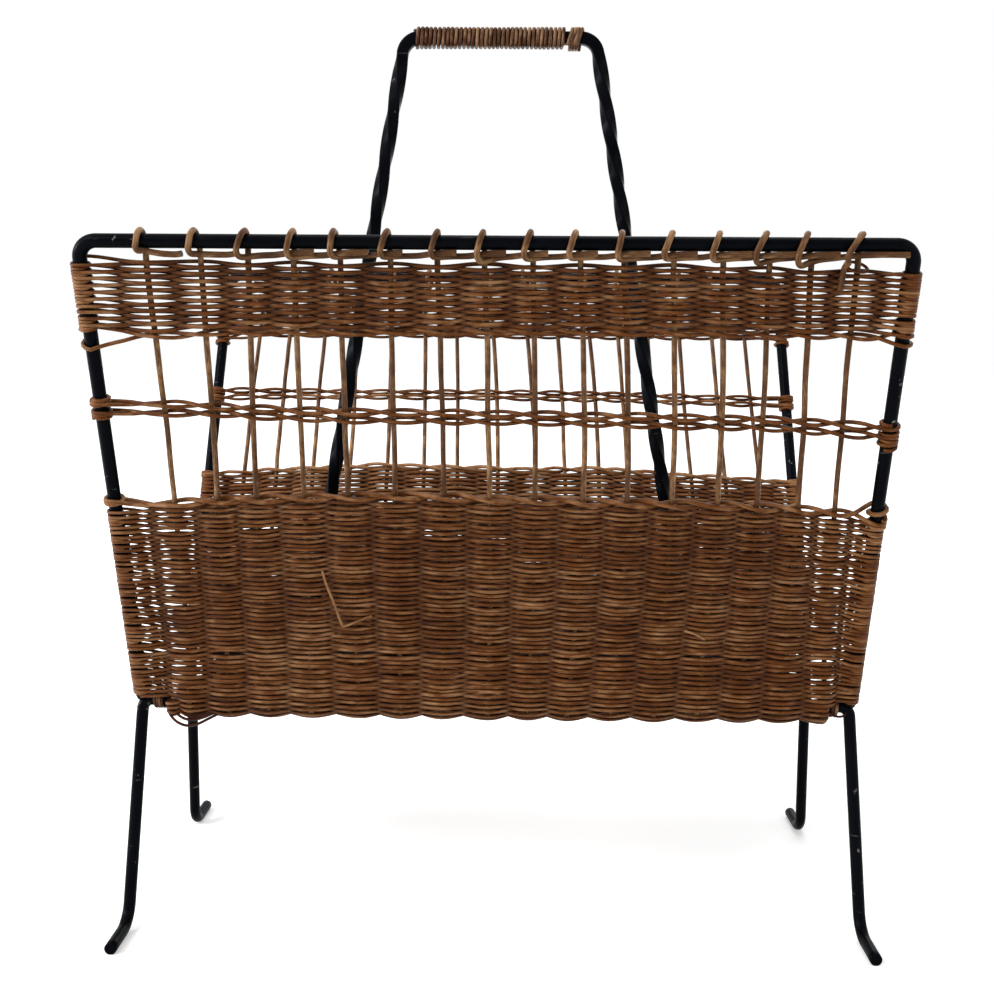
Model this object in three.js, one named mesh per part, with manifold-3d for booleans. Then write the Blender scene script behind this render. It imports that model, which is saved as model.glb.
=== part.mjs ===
// A magazine rack: a black iron rod frame that carries an open-ended V-shaped sling of woven cane.
// Millimetres, with Z up and the front towards -Y. The origin is on the floor, under the middle of the rack.

import * as THREE from "three";
import { mergeVertices } from "three/addons/utils/BufferGeometryUtils.js";
import Module from "manifold-3d";

const wasm = await Module();
wasm.setup();

// Iron frame, sizes to the rods' axes
const rodDiameter = 8;
const topBarHeight = 446;
const topBarHalfDepth = 177;
const topBarHalfWidth = 229;
const topCornerRadius = 10.5;
const crossbarHeight = 151;
const crossbarHalfDepth = 60;
const sideSplay = 9; // how far each side rod leans out from the top bar down to the crossbar
const legSplay = 7; // and each leg from the crossbar down to the floor
const legCornerRadius = 9;
const footHalfDepth = 85; // where the leg's line meets the floor
const footReach = 37; // from the leg's line out to the foot's end
const footBendRadius = 22;
const footWear = 0.15; // depth worn flat under each foot

// Handle, a square bar with twisted legs
const barSize = 8;
const gripHeight = 596.5;
const handleTopHalfWidth = 64.5;
const handleBottomHalfWidth = 141.5;
const leftBendRadius = 9;
const rightBendRadius = 11.5;
const leftQuarterTurn = 36.5; // length of leg in which the bar turns a quarter
const rightQuarterTurn = 31.5;

// Cane stakes, the strands that hang down each panel and cross the floor
const stakeCount = 16;
const stakeDiameter = 3;
const topStakeInset = 34; // from a side rod's axis to the outermost stake
const bottomStakeInset = 27;
const stakeShift = 6; // the stakes hang this far to the right of the rack's middle
const loopDrift = 6; // how far a loop slants sideways over the bar
const tailLength = 18;
const stakeLeaveLength = 45; // the stakes leave the panel's plane this far above the crossbar

// Woven bands, placed by their distance down the panel from the top bar's axis
const weaverDiameter = 1.9;
const edgeStrandDiameter = 2.25;
const edgeRowHeight = 4.5;
const upperWeaveTop = 10.5;
const upperEdgeTop = 50;
const firstMidRowTop = 100;
const secondMidRowTop = 106.2;
const frontLowerEdgeTop = 161;
const rearLowerEdgeTop = 166;
const frontMidRowSlant = 5.5; // how far the front's middle rows fall from the middle to the right side rod

// Windings
const gripLoops = 21;
const gripStart = -54.5;
const gripPitch = 4.6;
const gripStrandHeight = 2.3;
const gripStrandWidth = 3.95;
const knotLoops = 3;
const knotPitch = 2.95;
const knotStrandWidth = 2.3;
const knotGap = 1; // bare bar between the winding and the knot
const wrapLoops = 3;
const wrapPitch = 2.35;
const wrapStrandDiameter = 1.85;

// Fits
const clearance = 0.3;
const windingClearance = 0.45;
const overrun = 2;

// Counts of flat faces
const rodSides = 12;
const stakeSides = 5;
const bendSteps = 5;
const bulbSteps = 8;
const strandSides = 6;
const gripLoopSteps = 16;
const wrapStrandSides = 4;
const wrapLoopSteps = 10;
const twistStepsPerQuarter = 3;
const loopCorners = 6;
const octant = Math.PI / 4; // turn at each corner of a stake's loop

// Derived sizes
const rodRadius = rodDiameter / 2;
const rodCornerRadius = rodRadius / Math.cos(Math.PI / rodSides);
const stakeRadius = stakeDiameter / 2;
const slotHalfThickness = stakeRadius + clearance;
const channelHalfWidth = slotHalfThickness + clearance;
const valleyHalfThickness = weaverDiameter / 2; // of a woven sheet, midway between two stakes
const rodBoreRadius = rodCornerRadius + clearance;
const crossbarHalfWidth = topBarHalfWidth + sideSplay;
const footHalfWidth = crossbarHalfWidth + legSplay;
const topStakePitch = (2 * (topBarHalfWidth - topStakeInset)) / (stakeCount - 1);
const bottomStakePitch = (2 * (crossbarHalfWidth - bottomStakeInset)) / (stakeCount - 1);
const panelDrop = topBarHeight - crossbarHeight;
const panelRun = topBarHalfDepth - crossbarHalfDepth;
const panelLength = Math.hypot(panelDrop, panelRun);
const hemRadius = rodCornerRadius + clearance + weaverDiameter + slotHalfThickness;
const loopRadius = rodCornerRadius + clearance + stakeRadius;
const stakeLeaveDrop = panelLength - stakeLeaveLength;
const hemLean = Math.asin(hemRadius / stakeLeaveLength);
const wrapOuterRadius = rodCornerRadius + windingClearance + wrapStrandDiameter;
const lowerWeaveEnd = panelLength - wrapOuterRadius - clearance;
const hemHalfWidth = crossbarHalfWidth - bottomStakeInset + stakeShift + slotHalfThickness;

const ironFinish = { color: 0x14171b, roughness: 0.42, metalness: 0.55 };
const stakeFinish = { color: 0x94633a, roughness: 0.6, metalness: 0 };
const weaveFinish = { color: 0x7a4a28, roughness: 0.65, metalness: 0 };
const gripFinish = { color: 0x8b5c38, roughness: 0.55, metalness: 0 };

const vector = (x, y, z) => new THREE.Vector3(x, y, z);
const xAxis = vector(1, 0, 0);
const yAxis = vector(0, 1, 0);
const zAxis = vector(0, 0, 1);

// The front panel's plane: down its slope, and straight out of it
const panelDown = vector(0, panelRun, -panelDrop).normalize();
const panelOut = vector(0, -panelDrop, -panelRun).normalize();
const topBarMiddle = vector(0, -topBarHalfDepth, topBarHeight);

function panelPoint(x, drop, out) {
  return vector(x, 0, 0)
    .add(topBarMiddle)
    .addScaledVector(panelDown, drop)
    .addScaledVector(panelOut, out);
}

function sideRodX(drop) {
  return THREE.MathUtils.lerp(topBarHalfWidth, crossbarHalfWidth, drop / panelLength);
}

// A centre line with one station for each ring of the tube that follows it.
// The section's x axis faces the station's own side. Without one it starts along firstSide, is carried along
// without turning, and is then turned by the station's twist.
class StationPath extends THREE.Curve {
  constructor(stations, firstSide) {
    super();
    this.stations = stations;
    this.firstSide = firstSide;
  }

  stationAt(t) {
    return this.stations[Math.round(t * (this.stations.length - 1))];
  }

  getPoint(t) {
    return this.stationAt(t).point.clone();
  }

  getTangent(t) {
    return this.stationAt(t).tangent.clone();
  }

  getUtoTmapping(u) {
    return u;
  }

  computeFrenetFrames() {
    const side = this.firstSide.clone();
    let last = this.stations[0].tangent;
    const frames = { tangents: [], normals: [], binormals: [] };
    for (const station of this.stations) {
      const { tangent, twist = 0 } = station;
      side.applyQuaternion(new THREE.Quaternion().setFromUnitVectors(last, tangent));
      if (station.side) side.copy(station.side);
      side.addScaledVector(tangent, -side.dot(tangent)).normalize();
      const normal = side.clone().applyAxisAngle(tangent, twist);
      frames.tangents.push(tangent);
      frames.normals.push(normal);
      frames.binormals.push(tangent.clone().cross(normal));
      last = tangent;
    }
    return frames;
  }
}

function polygonSection(cornerRadius, sides) {
  const points = [];
  for (let k = 0; k < sides; k += 1) {
    const angle = ((k + 0.5) * 2 * Math.PI) / sides;
    points.push(new THREE.Vector2(Math.cos(angle), Math.sin(angle)).multiplyScalar(cornerRadius));
  }
  return points;
}

function flatSection(height, width, sides) {
  return polygonSection(1, sides).map(({ x, y }) => new THREE.Vector2((x * height) / 2, (y * width) / 2));
}

function tube(stations, firstSide, section) {
  const extrudePath = new StationPath(stations, firstSide);
  const settings = { steps: stations.length - 1, extrudePath };
  return new THREE.ExtrudeGeometry(new THREE.Shape(section), settings);
}

// Stations at the given points, each facing halfway between its two neighbours' directions.
function cornerStations(points) {
  return points.map((point, index) => {
    const tangent = vector(0, 0, 0);
    if (index > 0) tangent.add(point.clone().sub(points[index - 1]).normalize());
    if (index < points.length - 1) tangent.add(points[index + 1].clone().sub(point).normalize());
    return { point, tangent: tangent.normalize() };
  });
}

// The arc that rounds a corner between two straight runs.
function bendStations(before, corner, after, radius) {
  const arrive = corner.clone().sub(before).normalize();
  const leave = after.clone().sub(corner).normalize();
  const bend = arrive.angleTo(leave);
  const axis = arrive.clone().cross(leave).normalize();
  const inward = axis.clone().cross(arrive);
  const start = corner.clone().addScaledVector(arrive, -radius * Math.tan(bend / 2));
  const centre = start.clone().addScaledVector(inward, radius);
  const stations = [];
  for (let step = 0; step <= bendSteps; step += 1) {
    const angle = (bend * step) / bendSteps;
    const arm = inward.clone().multiplyScalar(-radius).applyAxisAngle(axis, angle);
    stations.push({ point: centre.clone().add(arm), tangent: arrive.clone().applyAxisAngle(axis, angle) });
  }
  return stations;
}

// A rod bent at each inner corner of its centre line.
function bentStations(corners, radii) {
  const first = corners[0];
  const last = corners[corners.length - 1];
  const bends = radii.flatMap((radius, index) =>
    bendStations(corners[index], corners[index + 1], corners[index + 2], radius),
  );
  const firstTangent = corners[1].clone().sub(first).normalize();
  const lastTangent = last.clone().sub(corners[corners.length - 2]).normalize();
  return [{ point: first, tangent: firstTangent }, ...bends, { point: last, tangent: lastTangent }];
}

// Closed solids for cuts and joins
function solidOf(geometry) {
  const bare = geometry.clone();
  bare.deleteAttribute("normal");
  bare.deleteAttribute("uv");
  const merged = mergeVertices(bare);
  return new wasm.Manifold(
    new wasm.Mesh({
      numProp: 3,
      vertProperties: merged.getAttribute("position").array,
      triVerts: new Uint32Array(merged.index.array),
    }),
  );
}

function geometryOf(solid) {
  const mesh = solid.getMesh();
  const geometry = new THREE.BufferGeometry();
  geometry.setAttribute("position", new THREE.BufferAttribute(mesh.vertProperties, 3));
  geometry.setIndex(new THREE.BufferAttribute(mesh.triVerts, 1));
  geometry.computeVertexNormals();
  return geometry;
}

function piece(name, geometry, finish) {
  const mesh = new THREE.Mesh(geometry, new THREE.MeshStandardMaterial(finish));
  mesh.name = name;
  return mesh;
}

// Leg frame: one rod from foot to foot, up both legs and along the crossbar
function legFrame(radius) {
  const footHeight = rodRadius - footWear;
  const corners = [];
  for (const side of [-1, 1]) {
    const half = [
      vector(side * footHalfWidth, -footHalfDepth - footReach, footHeight),
      vector(side * footHalfWidth, -footHalfDepth, footHeight),
      vector(side * crossbarHalfWidth, -crossbarHalfDepth, crossbarHeight),
    ];
    corners.push(...(side < 0 ? half : half.reverse()));
  }
  const radii = [footBendRadius, legCornerRadius, legCornerRadius, footBendRadius];
  const rod = tube(bentStations(corners, radii), xAxis, polygonSection(radius, rodSides));
  return solidOf(rod);
}

function wornLegFrame() {
  const width = 2 * (footHalfWidth + rodDiameter);
  const depth = 2 * (footHalfDepth + footReach + rodDiameter);
  const ground = new THREE.BoxGeometry(width, depth, rodDiameter).translate(0, 0, -rodRadius);
  return geometryOf(legFrame(rodCornerRadius).subtract(solidOf(ground)));
}

// Panel rod: up one side, along the top and down the other, coped onto the leg frame's corners
function panelRod() {
  const corners = [
    panelPoint(-crossbarHalfWidth, panelLength, 0),
    panelPoint(-topBarHalfWidth, 0, 0),
    panelPoint(topBarHalfWidth, 0, 0),
    panelPoint(crossbarHalfWidth, panelLength, 0),
  ];
  const stations = bentStations(corners, [topCornerRadius, topCornerRadius]);
  const rod = tube(stations, panelOut, polygonSection(rodCornerRadius, rodSides));
  return geometryOf(solidOf(rod).subtract(legFrame(rodCornerRadius + clearance)));
}

// Floor struts: they join the two crossbars and carry the handle's ends
function strut(radius) {
  const end = vector(0, crossbarHalfDepth - rodCornerRadius - clearance, 0);
  const points = [end.clone().negate(), end];
  return tube(cornerStations(points), zAxis, polygonSection(radius, rodSides));
}

// Handle: a flat-faced top and two legs that twist the same way
function handleBar() {
  const bottomLeft = vector(-handleBottomHalfWidth, 0, crossbarHeight);
  const topLeft = vector(-handleTopHalfWidth, 0, gripHeight);
  const topRight = vector(handleTopHalfWidth, 0, gripHeight);
  const bottomRight = vector(handleBottomHalfWidth, 0, crossbarHeight);
  const leftBend = bendStations(bottomLeft, topLeft, topRight, leftBendRadius);
  const rightBend = bendStations(topLeft, topRight, bottomRight, rightBendRadius);
  const leftLeg = twistedLeg(leftBend[0], bottomLeft, leftQuarterTurn, 1);
  const rightLeg = twistedLeg(rightBend[bendSteps], bottomRight, rightQuarterTurn, -1);
  const stations = [...leftLeg.reverse(), ...leftBend, ...rightBend, ...rightLeg];
  const half = barSize / 2;
  const square = [
    new THREE.Vector2(half, half),
    new THREE.Vector2(-half, half),
    new THREE.Vector2(-half, -half),
    new THREE.Vector2(half, -half),
  ];
  let solid = solidOf(tube(stations, yAxis, square));
  for (const side of [-1, 1]) {
    const seat = strut(rodCornerRadius + clearance);
    seat.translate(side * handleBottomHalfWidth, 0, crossbarHeight);
    solid = solid.subtract(solidOf(seat));
  }
  return geometryOf(solid);
}

function twistedLeg(top, bottom, quarterTurn, direction) {
  const length = top.point.distanceTo(bottom);
  const steps = Math.ceil((length / quarterTurn) * twistStepsPerQuarter);
  const stations = [];
  for (let step = 1; step <= steps; step += 1) {
    const share = step / steps;
    const twist = (direction * share * length * Math.PI) / 2 / quarterTurn;
    stations.push({ point: top.point.clone().lerp(bottom, share), tangent: top.tangent, twist });
  }
  return stations;
}

// The stakes' x across a panel at one drop, where shift is how far they hang to the right of its middle
function stakePlaces(drop, shift) {
  const pitch = THREE.MathUtils.lerp(topStakePitch, bottomStakePitch, drop / panelLength);
  return Array.from({ length: stakeCount }, (_, index) => (index - (stakeCount - 1) / 2) * pitch + shift);
}

// The front half of the way round below the front crossbar, as two corners at three quarters and one quarter
// of the turn from straight below
function hemCorners() {
  const turn = Math.PI / 2 - Math.atan2(panelRun, panelDrop) + hemLean;
  const axisPoint = vector(0, -crossbarHalfDepth, crossbarHeight);
  const cornerArm = hemRadius / Math.cos(turn / 4);
  return [3, 1].map((quarters) => {
    const angle = (turn * quarters) / 4;
    const arm = vector(0, -Math.sin(angle), -Math.cos(angle)).multiplyScalar(cornerArm);
    return axisPoint.clone().add(arm);
  });
}

// Stakes: each is one strand, from its tail on the front bar to its tail on the rear bar
function halfStake(topX, bottomX) {
  const stakeX = (drop) => THREE.MathUtils.lerp(topX, bottomX, drop / panelLength);
  const tailDrop = loopRadius * Math.cos(octant / 2);
  const tailOut = loopRadius * Math.sin(octant / 2);
  const tailX = topX - loopDrift;
  const points = [
    panelPoint(tailX + tailLength, tailDrop, tailOut),
    panelPoint(tailX + stakeDiameter, tailDrop, tailOut),
  ];
  const cornerArm = loopRadius / Math.cos(octant / 2);
  for (let k = 1; k <= loopCorners; k += 1) {
    const angle = k * octant;
    const x = tailX + (loopDrift * (k - 1)) / (loopCorners - 1);
    points.push(panelPoint(x, cornerArm * Math.cos(angle), cornerArm * Math.sin(angle)));
  }
  points.push(panelPoint(stakeX(upperWeaveTop), upperWeaveTop - clearance, 0));
  points.push(panelPoint(stakeX(stakeLeaveDrop), stakeLeaveDrop, 0));
  for (const corner of hemCorners()) points.push(corner.setX(bottomX));
  return points;
}

function stake(index) {
  const topX = stakePlaces(0, stakeShift)[index];
  const bottomX = stakePlaces(panelLength, stakeShift)[index];
  const front = halfStake(topX, bottomX);
  const rear = halfStake(-topX, -bottomX);
  for (const point of rear) point.applyAxisAngle(zAxis, Math.PI);
  const stations = cornerStations([...front, ...rear.reverse()]);
  return tube(stations, panelOut, polygonSection(stakeRadius, stakeSides));
}

// Woven bands: two walls that the stakes pass between, closed round the side rods

// How far the stakes, and with them a band's middle, stand out of the panel's plane
function middleShift(drop) {
  return Math.max(0, drop - stakeLeaveDrop) * Math.tan(hemLean);
}

// One face of a woven sheet, as x and out: a rib over each stake and a valley between two
function ribbedLine(places, side, halfThickness, shift) {
  const across = side > 0 ? [...places].reverse() : places;
  return across.flatMap((x, index) => {
    const rib = new THREE.Vector2(x, side * halfThickness + shift);
    if (index === 0) return [rib];
    const valley = new THREE.Vector2((across[index - 1] + x) / 2, side * valleyHalfThickness + shift);
    return [valley, rib];
  });
}

// A band's outline at one drop, as x and out: a thin middle, ribbed over the given stakes, with a bulb round
// each side rod
function bandRing(drop, bulbRadius, halfThickness, places) {
  const shift = middleShift(drop);
  const opening = Math.asin(halfThickness / bulbRadius);
  const sweep = 2 * (Math.PI - opening);
  const cornerRadius = bulbRadius / Math.cos(sweep / bulbSteps / 2);
  const ring = [];
  for (const side of [1, -1]) {
    for (let step = 0; step <= bulbSteps; step += 1) {
      const angle = -sweep / 2 + (sweep * step) / bulbSteps;
      const radius = step === 0 || step === bulbSteps ? bulbRadius : cornerRadius;
      const x = sideRodX(drop) + radius * Math.cos(angle);
      ring.push(new THREE.Vector2(side * x, side * radius * Math.sin(angle)));
    }
    ring.push(new THREE.Vector2(side * hemHalfWidth, side * halfThickness + shift));
    ring.push(...ribbedLine(places, side, halfThickness, shift));
    ring.push(new THREE.Vector2(-side * hemHalfWidth, side * halfThickness + shift));
  }
  return ring;
}

// The room for a side rod, and for a stake, inside a band
function boreRing(drop, side) {
  const cornerRadius = rodBoreRadius / Math.cos(Math.PI / bulbSteps);
  const middle = new THREE.Vector2(side * sideRodX(drop), 0);
  return polygonSection(cornerRadius, bulbSteps).map((point) => point.add(middle));
}

function channelRing(x, shift) {
  return [
    new THREE.Vector2(x + channelHalfWidth, slotHalfThickness + shift),
    new THREE.Vector2(x - channelHalfWidth, slotHalfThickness + shift),
    new THREE.Vector2(x - channelHalfWidth, -slotHalfThickness + shift),
    new THREE.Vector2(x + channelHalfWidth, -slotHalfThickness + shift),
  ];
}

// A closed solid whose skin runs through outlines. place gives where a point of the outline at an index lies.
function loft(outlines, place) {
  const corners = outlines.flatMap((outline, index) => outline.map((point) => place(point, index)));
  const sides = outlines[0].length;
  const lastRing = (outlines.length - 1) * sides;
  const faces = [];
  for (let start = 0; start < lastRing; start += sides) {
    for (let k = 0; k < sides; k += 1) {
      const [a, b] = [start + k, start + ((k + 1) % sides)];
      faces.push([a, b, a + sides], [b, b + sides, a + sides]);
    }
  }
  for (const [a, b, c] of THREE.ShapeUtils.triangulateShape(outlines[0], [])) faces.push([c, b, a]);
  for (const face of THREE.ShapeUtils.triangulateShape(outlines[outlines.length - 1], [])) {
    faces.push(face.map((corner) => corner + lastRing));
  }
  const positions = corners.flatMap((corner) => corner.toArray());
  return new wasm.Manifold(
    new wasm.Mesh({
      numProp: 3,
      vertProperties: new Float32Array(positions),
      triVerts: new Uint32Array(faces.flat()),
    }),
  );
}

// A solid along a panel, which falls by slant from the middle to the right side rod
function panelSolid(drops, slant, outlineAt) {
  const place = ({ x, y }, index) => panelPoint(x, drops[index] + (slant * x) / topBarHalfWidth, y);
  return loft(drops.map(outlineAt), place);
}

function overrunDrops(drops) {
  return [drops[0] - overrun, ...drops.slice(1, -1), drops[drops.length - 1] + overrun];
}

// A plain sleeve round the stakes and the side rods
function sleeve(drops, wall, slant) {
  const body = panelSolid(drops, slant, (drop) =>
    bandRing(drop, rodBoreRadius + wall, slotHalfThickness + wall, []),
  );
  const slot = panelSolid(overrunDrops(drops), slant, (drop) =>
    bandRing(drop, rodBoreRadius, slotHalfThickness, []),
  );
  return geometryOf(body.subtract(slot));
}

function row(top, slant) {
  return sleeve([top, top + edgeRowHeight], edgeStrandDiameter, slant);
}

function upperWeave() {
  return sleeve([upperWeaveTop, upperEdgeTop - clearance], weaverDiameter, 0);
}

// The lower weave bulges over each stake
function lowerWeave(edgeTop, shift) {
  const drops = [edgeTop + edgeRowHeight + clearance, stakeLeaveDrop, lowerWeaveEnd];
  const wall = weaverDiameter;
  let solid = panelSolid(drops, 0, (drop) =>
    bandRing(drop, rodBoreRadius + wall, slotHalfThickness + wall, stakePlaces(drop, shift)),
  );
  for (const side of [-1, 1]) {
    solid = solid.subtract(panelSolid(overrunDrops(drops), 0, (drop) => boreRing(drop, side)));
  }
  for (let index = 0; index < stakeCount; index += 1) {
    const channel = panelSolid(overrunDrops(drops), 0, (drop) =>
      channelRing(stakePlaces(drop, shift)[index], middleShift(drop)),
    );
    solid = solid.subtract(channel);
  }
  return geometryOf(solid);
}

// Floor weave: it starts under each lower weave, goes round below the crossbars and crosses the floor
function floorStations(startDrop) {
  const corners = hemCorners();
  const leave = panelPoint(0, stakeLeaveDrop, 0);
  const down = corners[0].clone().sub(leave).normalize();
  const start = leave.addScaledVector(down, (startDrop - stakeLeaveDrop) / Math.cos(hemLean));
  const front = [start, ...corners];
  const rear = front.map((point) => point.clone().applyAxisAngle(zAxis, Math.PI)).reverse();
  return cornerStations([...front, ...rear]);
}

// The way out of the sheet at a station, lengthened so that the sheet keeps its thickness round the corner
function mitre(stations, index) {
  const { point, tangent } = stations[index];
  const last = stations.length - 1;
  const run = index < last ? stations[index + 1].point.clone().sub(point) : tangent;
  return tangent.clone().cross(xAxis).divideScalar(Math.cos(run.angleTo(tangent)));
}

function floorSolid(startDrop, outline) {
  const stations = floorStations(startDrop);
  const place = ({ x, y }, index) =>
    stations[index].point.clone().addScaledVector(xAxis, x).addScaledVector(mitre(stations, index), y);
  return loft(stations.map(() => outline), place);
}

function floorWeave() {
  const halfThickness = slotHalfThickness + weaverDiameter;
  const halfWidth = hemHalfWidth + weaverDiameter;
  const places = stakePlaces(panelLength, stakeShift);
  const outline = [1, -1].flatMap((side) => [
    new THREE.Vector2(side * halfWidth, side * halfThickness),
    ...ribbedLine(places, side, halfThickness, 0),
    new THREE.Vector2(-side * halfWidth, side * halfThickness),
  ]);
  const startDrop = lowerWeaveEnd + clearance + halfThickness * Math.sin(hemLean);
  let solid = floorSolid(startDrop, outline);
  for (const x of places) solid = solid.subtract(floorSolid(startDrop - overrun, channelRing(x, 0)));
  return geometryOf(solid);
}

// Windings: one unbroken strand round a bar that runs along X, at the height and depth of the X axis
function windingStations({ loops, loopSteps, start, pitch, strandHeight, radiusAt }) {
  const stations = [];
  for (let step = 0; step <= loops * loopSteps; step += 1) {
    const angle = (2 * Math.PI * step) / loopSteps;
    const side = vector(0, Math.sin(angle), Math.cos(angle));
    const point = side.clone().multiplyScalar(radiusAt(angle)).setX(start + (pitch * step) / loopSteps);
    stations.push({ point, side });
  }
  const directed = cornerStations(stations.map(({ point }) => point));
  directed.forEach(({ tangent }, index) => {
    stations[index].tangent = tangent;
  });
  const [first, last] = [stations[0], stations[stations.length - 1]];
  const lengthened = ({ point, side, tangent }, reach) => ({
    point: point.clone().addScaledVector(tangent, reach),
    side,
    tangent,
  });
  first.tangent.copy(yAxis);
  last.tangent.copy(yAxis);
  return [lengthened(first, -strandHeight), ...stations, lengthened(last, strandHeight)];
}

// The least distance between the strand's own corners, half a loop or more apart
function leastSelfGap(stations, section, loopSteps) {
  const { normals, binormals } = new StationPath(stations, zAxis).computeFrenetFrames();
  const rings = stations.map(({ point }, index) =>
    section.map(({ x, y }) =>
      point.clone().addScaledVector(normals[index], x).addScaledVector(binormals[index], y),
    ),
  );
  let least = Infinity;
  rings.forEach((ring, index) => {
    for (const other of rings.slice(index + loopSteps / 2)) {
      for (const from of ring) {
        for (const to of other) least = Math.min(least, from.distanceTo(to));
      }
    }
  });
  return least;
}

function winding(name, section, settings) {
  const stations = windingStations(settings);
  const gap = leastSelfGap(stations, section, settings.loopSteps);
  console.log(name + ": least gap to itself " + gap.toFixed(2) + " mm");
  return piece(name, tube(stations, zAxis, section), gripFinish);
}

// The strand's distance from the square bar's axis: along the flats, or round the corner
function gripRadiusAt(angle) {
  const half = barSize / 2;
  const standOff = windingClearance + gripStrandHeight / 2;
  const quarter = Math.abs(angle) % (Math.PI / 2);
  const fromFlat = Math.min(quarter, Math.PI / 2 - quarter);
  if (Math.tan(fromFlat) * (half + standOff) <= half) return (half + standOff) / Math.cos(fromFlat);
  const along = half * (Math.cos(fromFlat) + Math.sin(fromFlat));
  return along + Math.sqrt(along * along - 2 * half * half + standOff * standOff);
}

function gripWindings() {
  const grip = new THREE.Group();
  grip.position.z = gripHeight;
  const shared = { loopSteps: gripLoopSteps, strandHeight: gripStrandHeight, radiusAt: gripRadiusAt };
  const main = { loops: gripLoops, start: gripStart, pitch: gripPitch, ...shared };
  const knotStart = gripStart + gripLoops * gripPitch + gripStrandWidth / 2 + knotGap + knotStrandWidth / 2;
  const knot = { loops: knotLoops, start: knotStart, pitch: knotPitch, ...shared };
  grip.add(winding("grip_winding", flatSection(gripStrandHeight, gripStrandWidth, strandSides), main));
  grip.add(winding("grip_knot", flatSection(gripStrandHeight, knotStrandWidth, strandSides), knot));
  return grip;
}

// The cane that is wound round a crossbar between the floor weave and the leg
function crossbarWrap(name, side) {
  const radius = wrapOuterRadius - wrapStrandDiameter / 2;
  const inner = hemHalfWidth + weaverDiameter + clearance + wrapStrandDiameter / 2;
  const length = wrapLoops * wrapPitch;
  const wrap = winding(name, polygonSection(wrapStrandDiameter / 2, wrapStrandSides), {
    loops: wrapLoops,
    loopSteps: wrapLoopSteps,
    start: side < 0 ? -inner - length : inner,
    pitch: wrapPitch,
    strandHeight: wrapStrandDiameter,
    radiusAt: () => radius,
  });
  wrap.position.set(0, -crossbarHalfDepth, crossbarHeight);
  return wrap;
}

// One panel with its leg frame and its bands, made as the front one. The rear one is turned half round.
function panel(place, sideNames, shift, lowerEdgeTop, midRowSlant) {
  const group = new THREE.Group();
  group.add(piece(place + "_panel_rod", panelRod(), ironFinish));
  group.add(piece(place + "_leg_frame", wornLegFrame(), ironFinish));
  group.add(piece(place + "_upper_weave", upperWeave(), weaveFinish));
  group.add(piece(place + "_upper_edge", row(upperEdgeTop, 0), weaveFinish));
  group.add(piece(place + "_mid_row_1", row(firstMidRowTop, midRowSlant), weaveFinish));
  group.add(piece(place + "_mid_row_2", row(secondMidRowTop, midRowSlant), weaveFinish));
  group.add(piece(place + "_lower_edge", row(lowerEdgeTop, 0), weaveFinish));
  group.add(piece(place + "_lower_weave", lowerWeave(lowerEdgeTop, shift), weaveFinish));
  sideNames.forEach((sideName, index) => {
    group.add(crossbarWrap("crossbar_wrap_" + place + "_" + sideName, index === 0 ? -1 : 1));
  });
  return group;
}

const rack = new THREE.Group();
const frontPanel = panel("front", ["left", "right"], stakeShift, frontLowerEdgeTop, frontMidRowSlant);
const rearPanel = panel("rear", ["right", "left"], -stakeShift, rearLowerEdgeTop, 0);
rearPanel.rotation.z = Math.PI;
rack.add(frontPanel, rearPanel);
rack.add(piece("handle_bar", handleBar(), ironFinish));
for (const [sideName, side] of [["left", -1], ["right", 1]]) {
  const floorStrut = piece(sideName + "_floor_strut", strut(rodCornerRadius), ironFinish);
  floorStrut.position.set(side * handleBottomHalfWidth, 0, crossbarHeight);
  rack.add(floorStrut);
}
for (let index = 0; index < stakeCount; index += 1) {
  const number = String(index + 1).padStart(2, "0");
  rack.add(piece("stake_" + number, stake(index), stakeFinish));
}
rack.add(piece("floor_weave", floorWeave(), weaveFinish));
rack.add(gripWindings());

export default rack;
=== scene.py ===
import math

import bpy
import numpy as np
from mathutils import Matrix, Vector


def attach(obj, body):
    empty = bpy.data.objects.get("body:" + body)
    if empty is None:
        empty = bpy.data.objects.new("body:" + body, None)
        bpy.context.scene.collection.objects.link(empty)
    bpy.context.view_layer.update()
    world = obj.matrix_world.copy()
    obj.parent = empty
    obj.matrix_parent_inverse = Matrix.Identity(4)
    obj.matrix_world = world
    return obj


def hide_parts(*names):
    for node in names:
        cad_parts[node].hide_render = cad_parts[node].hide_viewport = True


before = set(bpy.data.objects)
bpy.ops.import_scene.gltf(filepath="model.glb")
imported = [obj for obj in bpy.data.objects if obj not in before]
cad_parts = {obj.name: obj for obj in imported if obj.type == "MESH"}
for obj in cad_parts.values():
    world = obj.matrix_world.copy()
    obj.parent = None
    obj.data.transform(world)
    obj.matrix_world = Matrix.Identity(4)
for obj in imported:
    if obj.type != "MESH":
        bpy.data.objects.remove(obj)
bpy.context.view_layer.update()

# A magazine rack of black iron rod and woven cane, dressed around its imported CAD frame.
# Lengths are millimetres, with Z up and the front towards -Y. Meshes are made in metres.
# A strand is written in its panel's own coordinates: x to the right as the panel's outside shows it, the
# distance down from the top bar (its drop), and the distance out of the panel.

MM = 0.001
SEED = 1952
rng = np.random.default_rng(SEED)


def corners(node, above=-math.inf):
    """Lowest and highest corner of a CAD node's points that lie above a height."""
    points = np.array([vertex.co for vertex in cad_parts[node].data.vertices]) / MM
    points = points[points[:, 2] > above]
    return points.min(axis=0), points.max(axis=0)


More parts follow.
